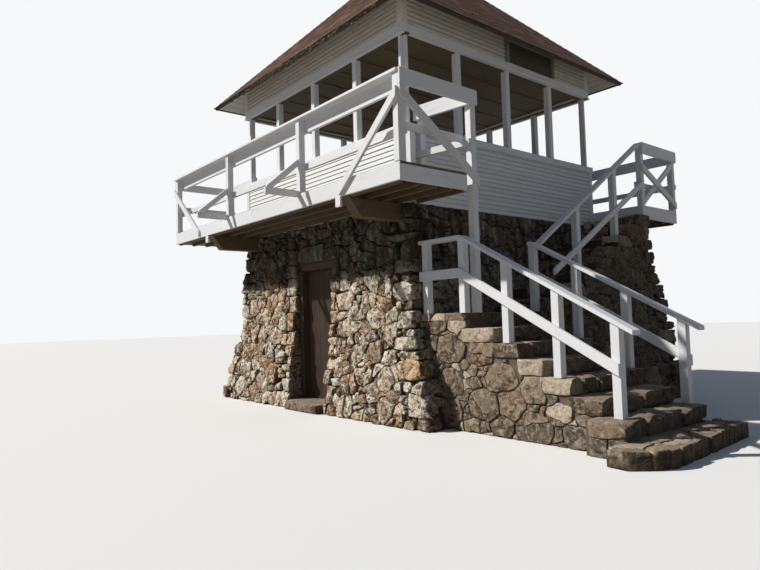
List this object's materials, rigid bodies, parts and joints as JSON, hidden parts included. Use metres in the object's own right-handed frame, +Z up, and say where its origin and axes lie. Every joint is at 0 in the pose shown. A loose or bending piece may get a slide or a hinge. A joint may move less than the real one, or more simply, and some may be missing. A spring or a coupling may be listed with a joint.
{
  "type": "fire lookout tower",
  "caption": "Square timber lookout cab with open window bays and a hip roof on a battered rubble-stone base, with a railed balcony, stone stairs and a plank door that swings in.",
  "frame": {"origin": "centre of the tower's base on the ground", "axes": "+X along the door wall towards the stairs, +Y from the door wall to the back, +Z up"},
  "size_m": [8.7415, 6.808, 7.8508],
  "materials": {
    "stone": "rough rubble",
    "stair_stone": "rough rubble",
    "white_paint": "weathered white paint",
    "siding": "weathered white paint on lap boards",
    "shingle": "mineral-faced asphalt",
    "deck_wood": "bare weathered timber",
    "door_wood": "dark weathered timber",
    "ceiling_wood": "dark boards"
  },
  "bodies": {
    "tower": {"base_wall_south_west": "stone", "base_wall_south_east": "stone", "base_wall_over_door": "stone", "base_wall_east": "stone", "base_wall_north": "stone", "base_wall_west": "stone", "base_floor": "stone", "stair_landing": "stair_stone", "lower_flight": "stair_stone", "upper_flight": "stair_stone", "near_handrail": "white_paint", "far_handrail": "white_paint", "upper_handrail": "white_paint", "window_frame_south": "white_paint", "window_frame_east": "white_paint", "window_frame_north": "white_paint", "window_frame_west": "white_paint", "balcony_fascia": "white_paint", "balcony_rail_south": "white_paint", "balcony_rail_east": "white_paint", "balcony_return_east": "white_paint", "balcony_rail_west": "white_paint", "balcony_outriggers": "white_paint", "balcony_braces": "white_paint", "platform_fascia": "white_paint", "platform_rail_east": "white_paint", "platform_rail_north": "white_paint", "cab_wall_south": "siding", "cab_wall_east": "siding", "cab_wall_north": "siding", "cab_wall_west": "siding", "frieze_south": "siding", "frieze_east": "siding", "frieze_north": "siding", "frieze_west": "siding", "frieze_panel": "siding", "roof_south": "shingle", "roof_east": "shingle", "roof_north": "shingle", "roof_west": "shingle", "cab_floor": "deck_wood", "balcony_beams": "deck_wood", "balcony_deck": "deck_wood", "platform_beams": "deck_wood", "platform_deck": "deck_wood", "base_door_frame": "door_wood", "cab_ceiling": "ceiling_wood"},
    "door": {"base_door": "door_wood"}
  },
  "joints": [
    {"name": "base_door_hinge", "type": "hinge", "parent": "tower", "child": "door", "pos_m": [-0.387, -1.9522, 1.1], "axis": [0, 0, 1], "range_deg": [0, 95]}
  ]
}
